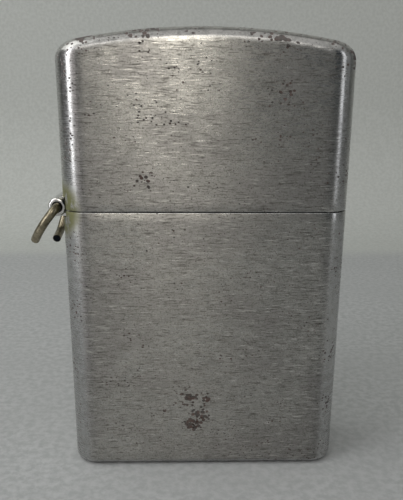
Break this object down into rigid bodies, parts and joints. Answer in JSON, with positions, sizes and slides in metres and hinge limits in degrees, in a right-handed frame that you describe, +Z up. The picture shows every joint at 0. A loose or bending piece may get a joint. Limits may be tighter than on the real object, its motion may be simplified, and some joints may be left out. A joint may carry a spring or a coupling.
{
  "type": "flip-top petrol lighter",
  "caption": "Flip-top windproof pocket lighter with an arched hinged lid, an open wire loop through the hinge, and a fuelled insert with striker wheel, chimney and wick.",
  "frame": {"origin": "centre of the flat base that the lighter stands on", "axes": "+Z up along the height, +X from the hinge side to the thumb side, +Y from the front face to the back face"},
  "size_m": [0.0406, 0.0128, 0.0576],
  "materials": {
    "case_steel": "worn horizontal satin brushing",
    "hinge_nickel": "dulled plating",
    "wire_bronze": "tarnished",
    "insert_steel": "drawn and plated",
    "screen_steel": "heat tinted near the flame",
    "wheel_steel": "hardened and serrated",
    "rivet_brass": "dull",
    "cam_steel": "stamped",
    "spring_steel": "tempered",
    "tube_brass": "drawn",
    "flint_alloy": "rough",
    "screw_brass": "turned",
    "wick_cotton": "braided",
    "felt_wool": "pressed felt",
    "packing_cotton": "loose fibre"
  },
  "bodies": {
    "case": {"case_body": "case_steel", "lower_hinge_leaf": "hinge_nickel", "hinge_pin": "hinge_nickel", "insert_tank": "insert_steel", "chimney_windscreen": "screen_steel", "wheel_axle": "rivet_brass", "cam_rivet": "rivet_brass", "cam_spring": "spring_steel", "cam_spring_rivet": "rivet_brass", "flint_tube": "tube_brass", "flint_screw": "screw_brass", "flint_spring": "spring_steel", "wick": "wick_cotton", "felt_pad": "felt_wool", "cotton_packing": "packing_cotton"},
    "lid": {"case_lid": "case_steel", "upper_hinge_leaf": "hinge_nickel"},
    "cam": {"lid_cam": "cam_steel"},
    "wheel": {"striker_wheel": "wheel_steel"},
    "flint_follower": {"flint": "flint_alloy", "flint_spring_tip": "screw_brass"},
    "wire_loop": {"lanyard_wire": "wire_bronze"}
  },
  "joints": [
    {"name": "lid_hinge", "type": "hinge", "parent": "case", "child": "lid", "pos_m": [-0.0188, 0, 0.0362], "axis": [0, -1, 0], "range_deg": [0, 115]},
    {"name": "cam_toggle", "type": "hinge", "parent": "case", "child": "cam", "pos_m": [-0.0114, 0, 0.0404], "axis": [0, -1, 0], "range_deg": [-57.5, 0]},
    {"name": "wheel_spin", "type": "hinge", "parent": "case", "child": "wheel", "pos_m": [0.0099, 0, 0.0423], "axis": [0, 1, 0], "continuous": true},
    {"name": "flint_feed", "type": "slide", "parent": "case", "child": "flint_follower", "axis": [0, 0, 1], "range_m": [-0.002, 0], "stiffness_N_per_m": 150, "deforming": ["flint_spring"]},
    {"name": "wire_loop_swing", "type": "hinge", "parent": "case", "child": "wire_loop", "pos_m": [-0.0188, 0, 0.0362], "axis": [0, -1, 0], "range_deg": [-25, 15]}
  ],
  "couplings": [
    {"joint": "cam_toggle", "follows": "lid_hinge", "ratio": -0.5}
  ]
}
